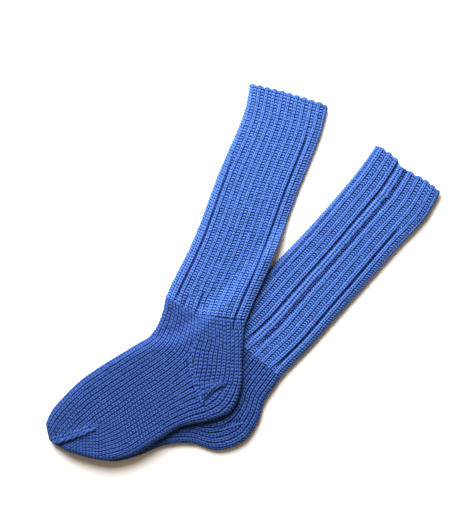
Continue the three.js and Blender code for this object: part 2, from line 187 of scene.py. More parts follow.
# Patches of plain knitting, from the leg towards the toe: left guide, right guide, wales across. In a guide
# a number is a row on the sock's outline, and a pair is a pixel of the photograph.
INSTEP = [
    (4.0, (198, 315), 11),
    (5.0, (197.5, 332), 11),
    (6.6, (191, 354), 11),
    (9.0, (176, 369), 11),
    (10, (160, 381), 11),
    (11, (138, 396), 11),
    (12, (117, 411), 11),
    (13, (99, 423.5), 11),
    (14, (85, 431.5), 10.4),
    (15, (68, 438), 8.4),
    (16, (51, 441.5), 5),
]
HEEL_FLAP = [
    ((198, 315), (226, 319), 8),
    ((197.5, 332), (227, 345), 8),
    ((191, 354), (226.5, 358), 8),
    ((192.5, 368), (226, 368), 7.2),
    ((195.5, 381), (224.5, 377), 5.9),
    ((199.5, 397), (222.5, 383.5), 5.4),
]
HEEL_BACK = [
    ((226, 319), 4.08, 6),
    ((227, 345), 5.1, 4.7),
    ((226.5, 358), 5.85, 4.5),
    ((226, 368), 6.35, 4.4),
    ((223.5, 381.5), 6.75, 4.4),
    ((217, 389), 7.35, 4.4),
    ((210.5, 395.5), 7.8, 4.4),
    ((206, 399), 8.35, 4.4),
    ((203, 402), 9.0, 4.4),
]
SOLE = [
    ((191, 355), 9.0, 12),
    ((176, 369), 9.7, 12),
    ((160, 381), 10.3, 12),
    ((138, 396), 11.2, 12),
    ((117, 411), 12.2, 11.6),
    ((99, 423.5), 13.2, 11),
]
TOE_SOLE = [
    ((99, 423.5), 13.2, 11),
    ((84, 433), 13.9, 9),
    ((68, 439.5), 15, 5),
    ((54, 443), 15.9, 2),
]
LOWER_FOOT = [
    (6.15, 6.15, 20),
    (7, 7, 20),
    *[(row, row, 21) for row in range(8, 16)],
    (16, 16, 17),
    (17, 17, 11),
    (18, 18, 5),
]

# Raised lines, in pixels of the photograph
TOE_RIDGE = [(53, 438.5), (61, 437), (70, 434.8), (80, 431), (90, 427)]
TOE_ROPE = [(51.5, 441.6), (62.5, 440.3), (71.5, 438.2), (79, 435.5), (85.5, 432.5), (91, 430), (97, 427.5)]
HEEL_RIDGE = [(200, 401), (207, 396), (214, 389), (222, 381.5)]
GUSSET_LINE = [(190.5, 356), (191.5, 368), (195, 381), (200.5, 397)]
LOWER_HEEL_RIDGE = [(219, 429), (231, 425.5), (243, 421)]

# Fields over the floor that describe each outline
GRID = 1.5  # step of their grid
FIELD_PAST = 24.0  # how far they reach past the outline
EDGE_SAMPLES = 150  # sections along the outline
LEG_PAST_CUFF = 40.0  # how far the leg goes on past the cuff in them

# The underside's own stitches
UNDER_GAP = 0.05  # their least height over the floor
UNDER_EDGE = 6.5  # how far inside the outline they end, where the upper face's stitches reach round


# Curves, sections and outlines

def curve(points, at):
    """A smooth line through points, read at numbers from 0 to the last point's. It is a cubic between each
    two points, timed by the root of their distance, so that uneven points make no loops."""
    points = np.asarray(points, float)
    padded = np.vstack([2 * points[0] - points[1], points, 2 * points[-1] - points[-2]])
    at = np.clip(at, 0, len(points) - 1)
    i = np.minimum(at.astype(int), len(points) - 2)
    w = (at - i)[:, None]
    a, b, c, d = (padded[i + k] for k in range(4))

    def gap(p, q):
        return np.maximum(((p - q) ** 2).sum(1), TINY)[:, None] ** 0.25

    before, here, after = gap(a, b), gap(b, c), gap(c, d)
    slope_b = ((b - a) / before - (c - a) / (before + here) + (c - b) / here) * here
    slope_c = ((c - b) / here - (d - b) / (here + after) + (d - c) / after) * here
    square = -3 * b + 3 * c - 2 * slope_b - slope_c
    cube = 2 * b - 2 * c + slope_b + slope_c
    return b + slope_b * w + square * w ** 2 + cube * w ** 3


def smooth(x, low, high):
    """A soft step from 0 at low to 1 at high."""
    t = np.clip((x - low) / (high - low), 0, 1)
    return t * t * (3 - 2 * t)


def unit(v):
    return v / np.maximum(np.linalg.norm(v, axis=-1, keepdims=True), TINY)


def lengths(path):
    """How far along a path each of its points is."""
    return np.concatenate([[0], np.cumsum(np.linalg.norm(np.diff(path, axis=0), axis=1))])


def quarter_length(a, b):
    """Length of a quarter of an ellipse with these half axes."""
    return math.pi / 4 * (3 * (a + b) - np.sqrt((3 * a + b) * (a + 3 * b)))


def corner_length(high):
    """Length of cloth round the edge of the upper face, where the sock is this thick."""
    return quarter_length(TOP_ROUND, high * (1 - EDGE_LEVEL))


def section(sock, at):
    """Left ends, directions to the right, widths and thicknesses of the sections at these rows."""
    left = curve(sock["left"], at)
    across = curve(sock["right"], at) - left
    wide = np.linalg.norm(across, axis=1)
    high = np.interp(at, np.arange(len(sock["high"])), sock["high"])
    return left, across / wide[:, None], wide, high


def top_length(wide, high):
    """How much longer than its plan the top of a section is at one edge, and its whole length."""
    more = corner_length(high) - TOP_ROUND
    return more, wide + 2 * more


def inside_distance(outline, places):
    """Distance from places to an outline, over 0 inside it."""
    best = np.full(len(places), np.inf)
    inside = np.zeros(len(places), bool)
    for a, b in zip(outline, np.roll(outline, -1, 0)):
        ab = b - a
        along = np.clip(((places - a) @ ab) / max(ab @ ab, TINY), 0, 1)
        best = np.minimum(best, np.linalg.norm(places - a - along[:, None] * ab, axis=1))
        if a[1] != b[1]:
            crosses = (a[1] > places[:, 1]) != (b[1] > places[:, 1])
            inside ^= crosses & (places[:, 0] < a[0] + (places[:, 1] - a[1]) * ab[0] / ab[1])
    return np.where(inside, best, -best)


def make_field(sock):
    """The sock's outline as fields over the floor: how far inside a place is, which way inside lies, and
    the thickness of the sock there. The leg goes on past the cuff, so that the cuff has no rounded edge."""
    left, side, wide, high = section(sock, np.linspace(0, len(sock["high"]) - 1, EDGE_SAMPLES))
    right = left + side * wide[:, None]
    cuffward = unit((left[0] - left[1]) + (right[0] - right[1]))
    outline = np.vstack([left[0] + cuffward * LEG_PAST_CUFF, left, right[::-1],
                         right[0] + cuffward * LEG_PAST_CUFF])
    corner = outline.min(0) - FIELD_PAST
    counts = np.ceil((outline.max(0) + FIELD_PAST - corner) / GRID).astype(int) + 1
    xs = corner[0] + GRID * np.arange(counts[0])
    ys = corner[1] + GRID * np.arange(counts[1])
    places = np.stack(np.meshgrid(xs, ys), -1).reshape(-1, 2)
    nearest = np.full(len(places), np.inf)
    thick = np.zeros(len(places))
    for middle, h in zip((left + right) / 2, high):
        distance = ((places - middle) ** 2).sum(1)
        closer = distance < nearest
        nearest[closer] = distance[closer]
        thick[closer] = h
    inside = inside_distance(outline, places).reshape(counts[1], counts[0])
    gy, gx = np.gradient(inside, GRID)
    return {"corner": corner, "inside": inside, "x": gx, "y": gy, "high": thick.reshape(inside.shape)}


def read(field, name, places):
    """A field's values at places, evenly between those of its grid."""
    g = (places - field["corner"]) / GRID
    size = np.array(field[name].shape[::-1])
    i = np.clip(np.floor(g).astype(int), 0, size - 2)
    fx, fy = np.clip(g - i, 0, 1).T
    v, x, y = field[name], i[:, 0], i[:, 1]
    return (v[y, x] * (1 - fx) * (1 - fy) + v[y, x + 1] * fx * (1 - fy)
            + v[y + 1, x] * (1 - fx) * fy + v[y + 1, x + 1] * fx * fy)


def inward_at(field, places):
    """Directions at places straight away from the nearest edge."""
    return unit(np.stack([read(field, "x", places), read(field, "y", places)], 1))


# Lines of the ribbing

def rib_knots(sock, at):
    """Numbers of the placed lines, and the share across of each at these rows, with a far line at both
    ends."""
    lines, rows = sock["ribs"]
    stands = [row for row, _ in rows]
    shares = [np.interp(at, stands, [row[1][i] for row in rows]) for i in range(len(lines))]
    numbers = [lines[0] - FAR_LINES, *lines, lines[-1] + FAR_LINES]
    far = RIB_WIDE * FAR_LINES
    return numbers, [shares[0] - far, *shares, shares[-1] + far]


def between_knots(value, knots, results):
    """Results at values between knots, carried on straight past the first and the last knot."""
    out = np.zeros(len(value))
    last = len(knots) - 2
    for i in range(len(knots) - 1):
        t = (value - knots[i]) / (knots[i + 1] - knots[i])
        here = (t >= 0) & (t < 1) | ((i == 0) & (t < 0)) | ((i == last) & (t >= 1))
        out[here] = (results[i] + (results[i + 1] - results[i]) * t)[here]
    return out


def share_of_line(sock, at, line):
    numbers, shares = rib_knots(sock, at)
    return between_knots(line, numbers, shares)


def line_of_share(sock, at, share):
    numbers, shares = rib_knots(sock, at)
    return between_knots(share, shares, numbers)


def rib_depth(line):
    """How far under a rib's crest the cloth lies, beside it."""
    return RIB_HIGH * (1 - np.cos(TAU * (line - RIB_CREST))) / 2


def flat_place(sock, at, share):
    """A place of the cloth, laid out flat, at a row and a share of the way round the top."""
    left, side, wide, high = section(sock, at)
    more, total = top_length(wide, high)
    return left + side * (total * share - more)[:, None]


# Laying cloth and yarn on a sock

def rolled(inside, corner):
    """Cloth laid out flat this far inside the outline, once it is rolled over the rounded edge: its length
    from the outermost edge, how far it has turned towards level, and how far inside the outline it lies."""
    arc = inside + corner - TOP_ROUND
    turn = np.clip(arc / corner, 0, 1) * QUARTER_TURN
    return arc, turn, np.where(arc >= corner, inside, TOP_ROUND * (1 - np.cos(turn)))


def pressed_in(sock, places):
    """How far folds and creases press the cloth in, and how far folds draw it together."""
    total = np.zeros(len(places))
    drawn = np.zeros((len(places), 2))
    for path, deep, wide, opened, draw in sock["creases"]:
        best = np.full(len(places), np.inf)
        along = np.zeros(len(places))
        away = np.zeros((len(places), 2))
        for k in range(len(path) - 1):
            ab = path[k + 1] - path[k]
            t = np.clip(((places - path[k]) @ ab) / (ab @ ab), 0, 1)
            offset = places - path[k] - t[:, None] * ab
            d = np.linalg.norm(offset, axis=1)
            closer = d < best
            best[closer] = d[closer]
            along[closer] = (k + t[closer]) / (len(path) - 1)
            away[closer] = offset[closer]
        fade = smooth(1 - along, 0, FOLD_FADE)
        if not opened:
            fade = fade * smooth(along, 0, FOLD_FADE)
        pull = draw * fade * np.exp(-((best / DRAW_WIDE) ** 2))
        drawn -= away * pull[:, None]
        total += deep * fade * np.exp(-((best * (1 - pull) / wide) ** 2))
    return total, drawn


def lift(sock, places):
    """Height of what lies under the sock."""
    if sock["over"] is None:
        return np.zeros(len(places))
    past = -read(sock["over"], "inside", places) - DRAPE_LEVEL
    return (UNDER_HIGH + CLOTH_GAP) * (1 - smooth(past, 0, DRAPE_FALL))


def lay(sock, flat, deep):
    """Puts places of the cloth, laid out flat, on the sock, deep millimetres inside its outer form."""
    field = sock["field"]
    inside = read(field, "inside", flat)
    inward = inward_at(field, flat)
    high = read(field, "high", flat)
    edge = EDGE_LEVEL * high
    under = quarter_length(UNDER_ROUND, edge)
    arc, turn, inset = rolled(inside, corner_length(high))
    low = np.clip(-arc / under, 0, 1) * QUARTER_TURN
    on_top = arc >= 0
    inset = np.where(on_top, inset, UNDER_ROUND * (1 - np.cos(low)) + np.maximum(-arc - under, 0))
    level = np.where(on_top, edge + (high - edge) * np.sin(turn), edge * (1 - np.sin(low)))
    out = np.where(on_top, np.cos(turn), np.cos(low))
    up = np.where(on_top, np.sin(turn), -np.sin(low))
    place = flat + inward * (inset - inside)[:, None]
    pressed, drawn = pressed_in(sock, place)
    room = np.maximum(level - deep - FOLD_FLOOR, LEAST_ROOM)
    pressed = np.where(pressed > 0, room * (1 - np.exp(-pressed / room)), pressed)
    deep = deep + pressed * np.clip(up, 0, 1)
    plan = place + drawn * np.clip(up, 0, 1)[:, None] + inward * (deep * out)[:, None]
    return np.column_stack([plan, np.maximum(level - deep * up + lift(sock, place), 0)])


def lay_under(sock, places, deep):
    """Puts places on the sock's underside, deep millimetres inside it."""
    return np.column_stack([places, lift(sock, places) + deep])


def make_sock(name, sections, ribs, folds, creases, cuff, over):
    """A sock's form: its sections, ribbing, cuff and field, its creases in the part's frame, and the field
    of the sock that it lies over. A crease is its path, depth and width, whether it is open at its start,
    and how much it draws the cloth together."""
    sock = {
        "name": name,
        "left": sections[:, 0:2] + TABLE_AT,
        "right": sections[:, 2:4] + TABLE_AT,
        "high": sections[:, 4],
        "ribs": ribs,
        "cuff": cuff,
        "over": over,
    }
    field = make_field(sock)
    sock["field"] = field
    sock["creases"] = [
        (np.array(path, float) + TABLE_AT, deep, wide, False, 0) for path, deep, wide in creases
    ]
    for line, start, end, deep, wide in folds:
        at = np.linspace(start, end, FOLD_POINTS)
        flat = flat_place(sock, at, share_of_line(sock, at, np.full(FOLD_POINTS, line)))
        inside = read(field, "inside", flat)
        high = section(sock, at)[3]
        _, _, inset = rolled(inside, corner_length(high))
        path = flat + inward_at(field, flat) * (inset - inside)[:, None]
        sock["creases"].append((path, deep, wide, start == 0, FOLD_DRAW))
    return sock


lower = make_sock("lower", LOWER_SECTIONS, LOWER_RIBS, LOWER_FOLDS, LOWER_CREASES, LOWER_CUFF, None)
upper = make_sock(
    "upper", UPPER_SECTIONS, UPPER_RIBS, UPPER_FOLDS, UPPER_CREASES, UPPER_CUFF, lower["field"])


# Meshes from arrays

def mesh_object(name, points, faces, material):
    """A piece of the visual model, from points in millimetres and triangles."""
    mesh = bpy.data.meshes.new(name)
    corners = faces.shape[1]
    mesh.vertices.add(len(points))
    mesh.vertices.foreach_set("co", (points * MM).astype(np.float32).ravel())
    mesh.loops.add(faces.size)
    mesh.loops.foreach_set("vertex_index", faces.astype(np.int32).ravel())
    mesh.polygons.add(len(faces))
    mesh.polygons.foreach_set("loop_start", np.arange(0, faces.size, corners, dtype=np.int32))
    mesh.polygons.foreach_set("loop_total", np.full(len(faces), corners, np.int32))
    mesh.update(calc_edges=True)
    mesh.polygons.foreach_set("use_smooth", np.full(len(faces), True))
    mesh.validate()
    thing = bpy.data.objects.new(name, mesh)
    bpy.context.collection.objects.link(thing)
    mesh.materials.append(material)
    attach(thing, "root")
    return thing


def joined(parts):
    """Points and faces of several parts as one."""
    points, faces, count = [], [], 0
    for part_points, part_faces in parts:
        points.append(part_points)
        faces.append(part_faces + count)
        count += len(part_points)
    return np.vstack(points), np.vstack(faces)


def strand_numbers(count, faces):
    """The number of the closed strand that each point belongs to. A strand's points stand together, so a
    new one starts where no face reaches back over the point."""
    reach = np.zeros(count + 1, int)
    np.add.at(reach, faces.min(1) + 1, 1)
    np.add.at(reach, faces.max(1) + 1, -1)
    return np.cumsum(np.cumsum(reach)[:count] == 0) - 1


def clear_of_edge(sock, parts):
    """The strands of these parts that are well inside the sock's outline."""
    points, faces = joined(parts)
    inside = read(sock["field"], "inside", points[:, :2]) > UNDER_EDGE
    strands = strand_numbers(len(points), faces)
    whole = np.ones(strands.max() + 1, bool)
    np.logical_and.at(whole, strands, inside)
    kept = whole[strands]
    number = np.cumsum(kept) - 1
    return points[kept], number[faces[kept[faces[:, 0]]]]


# Stitches

# A strand's x counts in wales, its y in rows towards the toe and its z in millimetres up, all from the
# stitch's own place. Its ends are sunk under its neighbours.

WALE = 4.4  # usual width of a stitch
ROW = 3.3  # usual height of one
YARN = 0.95  # half thickness of the yarn on the foot
RIB_YARN = 1.1  # and in the ribbing, where it is pulled tighter
FOOT_OPENS = 0.22  # how far a knit stitch's legs spread
RIB_OPENS = 0.27
KNIT_APART = 0.09  # half the gap between its legs at the point of the V
KNIT_SPREAD = 0.85  # power of the curve in which they spread
KNIT_FROM = -0.64  # rows from its middle to the point of the V
KNIT_TO = 0.58  # and to the legs' other ends
KNIT_CREST = 0.3  # height of a leg's crest
KNIT_CREST_AT = 0.3  # share of the way along a leg where its crest lies
KNIT_FALLS = (4.4, 3.4)  # how steeply a leg falls before its crest and after it
LOBE_YARN = 1.15  # half thickness of the strands at the cuff
ROPE_WIDE = 3.0  # width and height of one turn of the toe's cord
ROPE_ROW = 7.2


def arched(t, ends, middle, power=1.0, lean=1.0):
    """A value at t, along a strand from 0 to 1, with one size at both ends and another in the middle. A
    power under 1 makes the arch fuller, and a lean under 1 brings its top nearer to the start."""
    return ends + (middle - ends) * np.sin(math.pi * t ** lean) ** power


def straight(t, start, end):
    return start + (end - start) * t


def strand(x, y, z, thick, sides, wale=WALE, row=ROW):
    """A closed piece of yarn along a path, with a half thickness at each point of it. Its ends come to a
    point. Gives points, still in wales, rows and millimetres, and triangles."""
    path = np.column_stack([x, y, z]) * [wale, row, 1]
    along = unit(np.gradient(path, axis=0))
    across = unit(np.stack([along[:, 1], -along[:, 0], np.zeros(len(path))], 1))
    up = unit(np.cross(across, along))
    up = np.where(up[:, 2:] < 0, -up, up)
    turn = TAU * (np.arange(sides) + 0.5) / sides
    rings = [
        path[k] + thick[k] * (np.cos(turn)[:, None] * across[k] + np.sin(turn)[:, None] * up[k])
        for k in range(1, len(path) - 1)
    ]
    points = np.vstack([path[:1], *rings, path[-1:]]) / [wale, row, 1]
    count = len(rings)
    last = len(points) - 1
    faces = []
    for i in range(sides):
        j = (i + 1) % sides
        faces.append((0, 1 + i, 1 + j))
        for r in range(count - 1):
            a = 1 + r * sides
            b = a + sides
            faces.append((a + i, b + i, b + j))
            faces.append((a + i, b + j, a + j))
        a = 1 + (count - 1) * sides
        faces.append((last, a + j, a + i))
    return points, facing_out(points, np.array(faces), count, sides)


def facing_out(points, faces, count, sides):
    """The triangles of a strand, each turned so that it faces away from the strand's middle."""
    centre = points[1:-1].reshape(count, sides, 3).mean(1)
    middle = np.vstack([centre[:1], np.repeat(centre, sides, 0), centre[-1:]])
    corners = points[faces]
    normal = np.cross(corners[:, 1] - corners[:, 0], corners[:, 2] - corners[:, 0])
    outward = corners.mean(1) - middle[faces].mean(1)
    turned = (normal * outward).sum(1) < 0
    faces[turned] = faces[turned][:, ::-1]
    return faces


def knit_stitch(sides, rings, yarn_half, opens):
    """The two legs of a knit stitch: a V with its point towards the cuff."""
    t = np.linspace(0, 1, rings + 2)
    x = KNIT_APART + opens * t ** KNIT_SPREAD
    y = straight(t, KNIT_FROM, KNIT_TO)
    z = KNIT_CREST - np.where(t < KNIT_CREST_AT, *KNIT_FALLS) * (t - KNIT_CREST_AT) ** 2
    thick = yarn_half * arched(t, 0.6, 1, lean=0.8)
    return joined([strand(hand * x, y, z, thick, sides) for hand in (-1, 1)])


def purl_stitch(sides, rings, yarn_half):
    """The bump of a purl stitch, an arch towards the cuff."""
    t = np.linspace(0, 1, rings + 2)
    x = straight(t, -0.46, 0.46)
    y = arched(t, 0.36, -0.34, 0.9)
    z = arched(t, -0.8, 0, 0.6)
    return strand(x, y, z, yarn_half * arched(t, 0.6, 1.02, 0.7), sides)


def cuff_lobe(sides, rings):
    """The edge of one rib: a strand over the rib's end."""
    t = np.linspace(0, 1, rings + 2)
    x = 0.1 - 0.8 * np.cos(math.pi * t)
    y = arched(t, 1.1, -0.35, 0.6)
    z = arched(t, -0.9, 0.4, 0.4)
    return strand(x, y, z, LOBE_YARN * arched(t, 0.75, 1), sides)


def ridge_stitch(sides, rings):
    """One stitch of a line of decreases: a slanted strand and a leg of the chain that runs along it."""
    t = np.linspace(0, 1, rings + 2)
    thick = arched(t, 0.7, 0.95)
    slant_up = arched(t, -0.9, 0.6, 0.8, lean=0.7)
    slant = strand(straight(t, -0.56, 0.16), straight(t, 0.5, -0.35), slant_up, thick, sides)
    leg = strand(arched(t, 0.16, 0.28), straight(t, -0.8, 0.7), arched(t, -0.3, 0.2), thick, sides)
    return joined([slant, leg])


def rope_stitch(sides, rings):
    """One turn of the thick cord that the toe's decreases make."""
    t = np.linspace(0, 1, rings + 2)
    x = straight(t, -0.5, 0.5)
    y = straight(t, 0.66, -0.66)
    z = arched(t, -0.6, 0.9, 0.7)
    return strand(x, y, z, arched(t, 0.7, 1.45, 0.8), sides, ROPE_WIDE, ROPE_ROW)


KNIT = knit_stitch(6, 4, YARN, FOOT_OPENS)
RIB_KNIT = knit_stitch(6, 4, RIB_YARN, RIB_OPENS)
RIB_PURL = purl_stitch(6, 5, RIB_YARN)
LOBE = cuff_lobe(6, 9)
RIDGE = ridge_stitch(6, 4)
ROPE = rope_stitch(8, 6)

# Plainer stitches, for what lies underneath
KNIT_PLAIN = knit_stitch(4, 2, YARN, FOOT_OPENS)
RIB_KNIT_PLAIN = knit_stitch(4, 2, RIB_YARN, RIB_OPENS)
RIB_PURL_PLAIN = purl_stitch(4, 3, RIB_YARN)

# How uneven the stitches are: their size, their places in wales and rows, and their height
UNEVEN_SIZE = 0.05
UNEVEN_ACROSS = 0.025
UNEVEN_ALONG = 0.035
UNEVEN_HIGH = 0.06
SEED = 11
rng = np.random.default_rng(SEED)


def copies(stitch, wales, rows):
    """Copies of a stitch at places counted in wales and rows. Gives u, v, z and faces."""
    points, faces = stitch
    n = len(wales)
    size = 1 + rng.normal(0, UNEVEN_SIZE, (n, 1))
    u = wales[:, None] + points[None, :, 0] * size + rng.normal(0, UNEVEN_ACROSS, (n, 1))
    v = rows[:, None] + points[None, :, 1] * size + rng.normal(0, UNEVEN_ALONG, (n, 1))
    z = points[None, :, 2] + rng.normal(0, UNEVEN_HIGH, (n, 1))
    every = faces[None] + (np.arange(n) * len(points))[:, None, None]
    return u.ravel(), v.ravel(), z.ravel(), every.reshape(-1, 3)


def put(sock, flat, z, under):
    """Puts yarn on the sock's upper face or on its underside."""
    if under:
        return lay_under(sock, flat, np.maximum(YARN + UNDER_GAP - z, UNDER_GAP))
    return lay(sock, flat, YARN - z)


# Ribbed legs

LINES_TO_WALE = 0.5  # a stitch takes half a rib
KNIT_RISE = 0.05  # how far the knit stitches stand out of the ribs' own form
PURL_RISE = 0.8  # and the purl stitches between them
LEG_SECTIONS = 7  # rows of the sock that the plan of a leg covers
LEG_SAMPLES = 141
GUESS_PAST = 1.1  # how far down the ribbing a stitch is first looked for, as a share of it


def cuff_reach(sock, share):
    """How far the cuff's edge reaches past its row, at shares of the way across."""
    out = np.zeros(len(share))
    table = sock["cuff"]
    share = np.clip(share, 0, 1)
    for (a, low), (b, high) in zip(table, table[1:]):
        here = (share >= a) & (share <= b)
        out[here] = low + (high - low) * smooth(share[here], a, b)
    return out


def make_leg(sock, plan):
    """A ribbed leg: its plan, with the lengths down the sock's middle that its rows of stitches divide."""
    at = np.linspace(0, LEG_SECTIONS, LEG_SAMPLES)
    left, side, wide, _ = section(sock, at)
    middle = left + side * wide[:, None] / 2
    cuffward = unit(middle[0] - middle[1])
    return {**plan, "sock": sock, "at": at, "length": lengths(middle), "cuffward": cuffward}


def leg_place(leg, line, row):
    """Place, laid out flat, on a line of the ribbing at a row of stitches counted from the cuff. The share
    of the way across depends on the sock's row and the other way round, so the two are found in turn."""
    sock = leg["sock"]
    at = np.clip(row / leg["rows"], 0, GUESS_PAST) * leg["ends"][0][1]
    for _ in range(2):
        share = share_of_line(sock, at, line)
        end = np.interp(share, *zip(*leg["ends"]))
        down = row / leg["rows"] * np.interp(end, leg["at"], leg["length"])
        at = np.interp(down, leg["length"], leg["at"])
    flat = flat_place(sock, at, share_of_line(sock, at, line))
    reach = cuff_reach(sock, share) * np.clip(1 - down / CUFF_FADE, 0, 1)
    return flat + leg["cuffward"] * (reach - np.minimum(down, 0))[:, None]


def rib_stitches(leg, face, knit, purl):
    """All stitches of one face of a leg, top or under."""
    first, last = leg[face]
    rows = np.arange(leg["rows"]) + 0.5
    parts = []
    for stitch, offset, rise in ((knit, RIB_CREST, KNIT_RISE), (purl, RIB_CREST + 0.5, PURL_RISE)):
        lines = np.arange(math.floor(first), math.ceil(last) + 1) + offset
        lines = lines[(lines >= first) & (lines <= last)]
        wale, row = (a.ravel() for a in np.meshgrid(lines / LINES_TO_WALE, rows))
        u, v, z, faces = copies(stitch, wale, row)
        line = u * LINES_TO_WALE
        height = z + rise - rib_depth(line)
        parts.append((put(leg["sock"], leg_place(leg, line, v), height, face == "under"), faces))
    return joined(parts)


def cuff_edge(leg):
    """The strands over the ribs' ends, all round the cuff's upper face."""
    lines = np.arange(*leg["cuff"]) + RIB_CREST
    u, v, z, faces = copies(LOBE, lines / LINES_TO_WALE, np.zeros(len(lines)))
    return lay(leg["sock"], leg_place(leg, u * LINES_TO_WALE, v), YARN - z), faces


# Plain knitting in patches between two guides

OVER_EDGE = 1.6  # wales that a patch goes on past an outline
SHORT_OF_GUIDE = 0.2  # and that it keeps before a guide inside the sock
EDGE_REACH = 2.4  # how far past an outline the counted wales reach
GUIDE_SAMPLES = 40  # for each step of a guide
ROW_SAMPLES = 4  # for each row of stitches
CHAIN_SAMPLES = 200  # for a whole raised line
CHAIN_FADE = 2.2  # stitches over which a raised line sinks at its end
AHEAD = 0.02  # step that tells a line's direction


def pixel_place(pixels):
    """Pixels of the photograph as places in the part's frame."""
    return (np.asarray(pixels, float) - ORIGIN_PIXEL) * [PIXEL, -PIXEL] + TABLE_AT


def on_outline(value):
    """Whether a guide's value is a row on the sock's outline, and not a pixel."""
    return isinstance(value, (int, float))


def guide(sock, side, values):
    """A guide's places: a number is a row on the sock's outline, and a pair a pixel of the photograph."""
    return np.array([
        curve(sock[side], np.array([float(value)]))[0] if on_outline(value) else pixel_place(value)
        for value in values
    ])


def make_patch(sock, table, anchor, even, row, same=True, more=0):
    """A patch of knitting between two guides. Its wales are counted from the guide that anchor names. even
    is the line along which the rows are even, row is their height, same says that all wales have the same
    rows, and more is how many rows go on past the end."""
    lefts, rights, counts = zip(*table)
    left = guide(sock, "left", lefts)
    right = guide(sock, "right", rights)
    steps = len(table) - 1
    fine = np.linspace(0, steps, GUIDE_SAMPLES * steps + 1)
    a, b = curve(left, fine), curve(right, fine)
    length = lengths({"left": a, "right": b, "middle": (a + b) / 2}[even])
    edges = {"left": on_outline(lefts[0]), "right": on_outline(rights[0])}
    return {
        "sock": sock,
        "left": left,
        "right": right,
        "counts": np.array(counts, float),
        "fine": fine,
        "length": length,
        "rows": int(round(length[-1] / row)),
        "row": row,
        "same": same,
        "more": more,
        "anchor": anchor,
        "edges": edges,
        "far_edge": edges["right" if anchor == "left" else "left"],
    }


def patch_counts(patch, v):
    """Where along the guides a row of stitches lies, and how many wales lie across there."""
    at = np.interp(v / patch["rows"] * patch["length"][-1], patch["length"], patch["fine"])
    return at, np.interp(at, np.arange(len(patch["counts"])), patch["counts"])


def patch_place(patch, u, v):
    """Place, laid out flat, at a wale and a row of a patch. Rows before its start or past its end go on
    straight along its left guide."""
    at, count = patch_counts(patch, v)
    past = v / patch["rows"] * patch["length"][-1]
    past = np.where(past < 0, past, np.maximum(past - patch["length"][-1], 0))
    ahead = curve(patch["left"], np.minimum(at + AHEAD, patch["fine"][-1]))
    behind = curve(patch["left"], np.maximum(at - AHEAD, 0))
    onward = unit(ahead - behind) * past[:, None]
    a = curve(patch["left"], at) + onward
    b = curve(patch["right"], at) + onward
    across = b - a
    wide = np.linalg.norm(across, axis=1)
    side = across / wide[:, None]
    start = -EDGE_REACH if patch["edges"]["left"] else 0.0
    end = wide + (EDGE_REACH if patch["edges"]["right"] else 0.0)
    pitch = (end - start) / count
    x = start + u * pitch if patch["anchor"] == "left" else end - u * pitch
    return a + side * x[:, None]


def plain_knit(patch, stitch, first=0, last=None, under=False):
    """Stitches of a patch from one wale up to another, or else to the far guide."""
    if last is None:
        last = int(patch["counts"].max() + OVER_EDGE) + 1
    past = OVER_EDGE if patch["far_edge"] else -SHORT_OF_GUIDE
    sample = np.linspace(0, patch["rows"], ROW_SAMPLES * patch["rows"] + 1)
    parts = []
    for wale in np.arange(first, last) + 0.5:
        if patch["same"]:
            rows = np.arange(0.5, patch["rows"] + patch["more"])
            middle = np.minimum(rows, patch["rows"])
        else:
            length = lengths(patch_place(patch, np.full(len(sample), wale), sample))
            rows = np.arange(0.5, length[-1] / patch["row"] + patch["more"])
            middle = np.interp(rows * patch["row"], length, sample)
        rows = rows[wale <= patch_counts(patch, middle)[1] + past]
        if not len(rows):
            continue
        u, v, z, faces = copies(stitch, np.full(len(rows), wale), rows)
        if not patch["same"]:
            v = np.interp(v * patch["row"], length, sample)
        parts.append((put(patch["sock"], patch_place(patch, u, v), z, under), faces))
    return joined(parts)


def chain(sock, pixels, stitch, wide, row, rise):
    """One raised wale of stitches along a line read from the photograph."""
    middle = pixel_place(pixels)
    fine = np.linspace(0, len(middle) - 1, CHAIN_SAMPLES)
    length = lengths(curve(middle, fine))
    count = int(round(length[-1] / row))
    u, v, z, faces = copies(stitch, np.zeros(count), np.arange(count) + 0.5)
    at = np.interp(v / count * length[-1], length, fine)
    along = unit(curve(middle, at + AHEAD) - curve(middle, at - AHEAD))
    place = curve(middle, at) + np.stack([along[:, 1], -along[:, 0]], 1) * (u * wide)[:, None]
    rise = rise * smooth(count - v, 0, CHAIN_FADE) * smooth(v, -CHAIN_FADE / 2, CHAIN_FADE / 2)
    return lay(sock, place, YARN - z - rise), faces


# Yarn

# Colours: the yarn's tone, that of its pale fibres and that of its darker stretches; the foot's are darker
# than the ribbing's
RIB_COLOURS = ((0.047, 0.115, 0.38), (0.095, 0.215, 0.6), (0.033, 0.086, 0.31))
FOOT_COLOURS = ((0.022, 0.06, 0.243), (0.056, 0.138, 0.44), (0.0145, 0.042, 0.188))
# The shell's cloth shows only in the gaps between stitches: its colours are the yarn made much darker,
# painted shade for those gaps
GAP_SHADE_COLOURS = ((0.014, 0.04, 0.175), (0.022, 0.058, 0.23), (0.011, 0.031, 0.14))
WOOL = {
    "Roughness": 0.85,
    "Sheen Weight": 0.12,
    "Sheen Roughness": 0.5,
    "Sheen Tint": (0.55, 0.75, 1.0, 1.0),
    "Specular IOR Level": 0.16,
}
STRETCHES = {"Scale": 9.0, "Detail": 2.0}
FIBRES = {"Scale": 900.0, "Detail": 3.0}
FIBRE_SHARE = {"From Min": 0.45, "From Max": 0.75, "To Max": 0.7}
FIBRE_BUMP = {"Strength": 0.25, "Distance": 0.0004}


def set_inputs(node, values):
    for name, value in values.items():
        node.inputs[name].default_value = value
    return node


